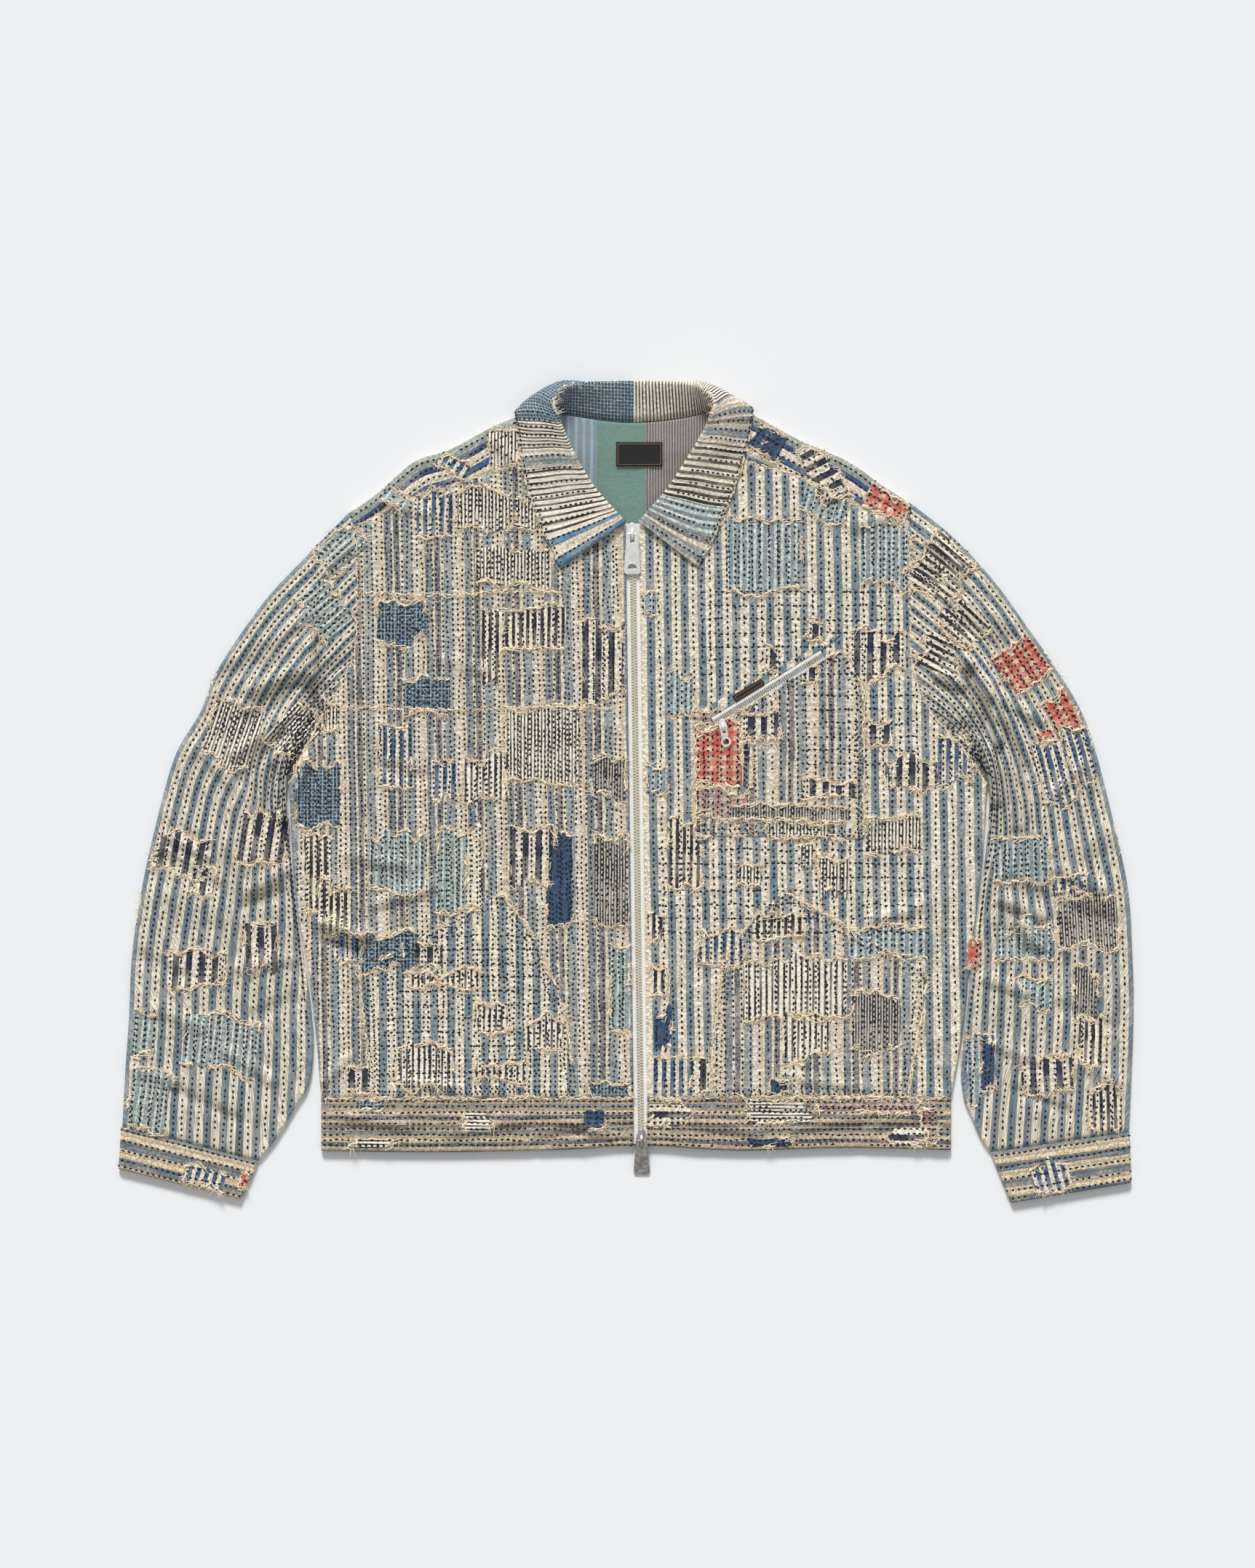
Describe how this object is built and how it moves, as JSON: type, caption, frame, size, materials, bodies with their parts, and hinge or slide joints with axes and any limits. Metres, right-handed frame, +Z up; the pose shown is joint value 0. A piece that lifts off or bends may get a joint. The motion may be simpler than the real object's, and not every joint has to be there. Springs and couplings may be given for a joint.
{
  "type": "patched jacket",
  "caption": "Patchwork work jacket laid flat face up, zipped, with collar leaves, chest zip pocket, lower pockets, cuffs and waistband.",
  "frame": {"origin": "on the underside of the back panel, on the line of the front zip, where the jacket rests", "axes": "+Z up from the surface through the jacket's face, +Y to the collar, +X to the wearer's left sleeve"},
  "size_m": [0.9215, 0.7464, 0.0312],
  "materials": {
    "striped_cloth": "cream and blue-grey striped cotton, quilted with dark running stitches",
    "worn_cloth": "the same striped cotton, worn and shredded, with dense stitches",
    "inner_cloth": "faded blue and green cotton of the back",
    "pocket_cloth": "patched striped cotton",
    "zip_tape": "off-white woven tape",
    "teeth": "silver teeth with a faint gold tint",
    "bright_metal": "bright silver",
    "aged_metal": "aged nickel",
    "black_label": "bare black woven label"
  },
  "bodies": {
    "jacket": {"back": "inner_cloth", "yoke": "striped_cloth", "front_right": "worn_cloth", "front_left": "striped_cloth", "sleeve_right": "striped_cloth", "sleeve_left": "striped_cloth", "cuff_right": "striped_cloth", "cuff_left": "striped_cloth", "waistband": "worn_cloth", "collar": "striped_cloth", "pocket_right": "pocket_cloth", "pocket_left": "pocket_cloth", "chest_pocket": "pocket_cloth", "chest_welt": "pocket_cloth", "chest_zip_tape": "zip_tape", "chest_zip_chain": "teeth", "chest_tab": "black_label", "chest_slider": "bright_metal", "neck_label": "black_label", "zip_tape_right": "zip_tape", "zip_tape_left": "zip_tape", "zip_chain": "teeth", "zip_slider_top": "bright_metal", "zip_slider_bottom": "aged_metal"},
    "top_pull": {"zip_pull_top": "bright_metal"},
    "bottom_pull": {"zip_pull_bottom": "aged_metal"},
    "pocket_pull": {"chest_pull": "bright_metal"}
  },
  "joints": [
    {"name": "top_pull_swing", "type": "hinge", "parent": "jacket", "child": "top_pull", "pos_m": [-0.00489, 0.2335, 0.0093], "axis": [-1, 0, 0], "range_deg": [0, 150]},
    {"name": "bottom_pull_swing", "type": "hinge", "parent": "jacket", "child": "bottom_pull", "pos_m": [0.0036, -0.317, 0.0093], "axis": [-1, 0, 0], "range_deg": [0, 150]},
    {"name": "pocket_pull_swing", "type": "hinge", "parent": "jacket", "child": "pocket_pull", "pos_m": [0.0775, 0.0585, 0.01222], "axis": [-0.9816, -0.1908, 0], "range_deg": [0, 150]}
  ]
}
